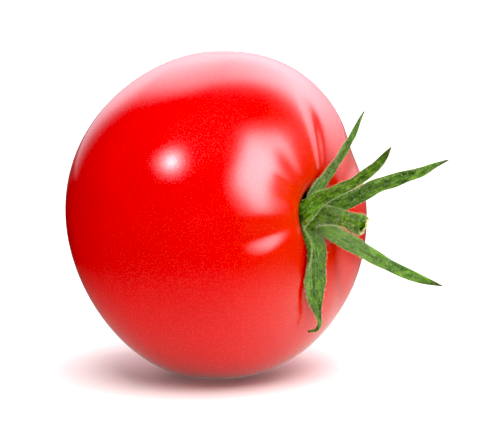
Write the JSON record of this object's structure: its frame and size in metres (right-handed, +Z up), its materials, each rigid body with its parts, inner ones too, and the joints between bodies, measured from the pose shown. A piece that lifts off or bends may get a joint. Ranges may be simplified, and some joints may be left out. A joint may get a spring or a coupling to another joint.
{
  "type": "tomato",
  "caption": "Ripe round red tomato lying on its side, with its green calyx of five sepals and a short broken stalk end.",
  "frame": {"origin": "middle of the small flat spot that the fruit rests on", "axes": "+Z up, away from the surface it rests on; +X the level direction that the stalk points in, which leans 5.9 degrees up from it"},
  "size_m": [0.0835, 0.0753, 0.0744],
  "materials": {
    "skin": "smooth glossy ripe tomato skin, finely speckled",
    "calyx": "matt green, finely hairy",
    "stalk": "matt green, ridged and finely hairy",
    "sepal": "matt green leaf with a midrib, finely hairy, brownish at the tip"
  },
  "bodies": {
    "root": {"fruit": "skin", "calyx_base": "calyx", "pedicel": "stalk", "sepal_1": "sepal", "sepal_2": "sepal", "sepal_3": "sepal", "sepal_4": "sepal", "sepal_5": "sepal"}
  },
  "joints": []
}
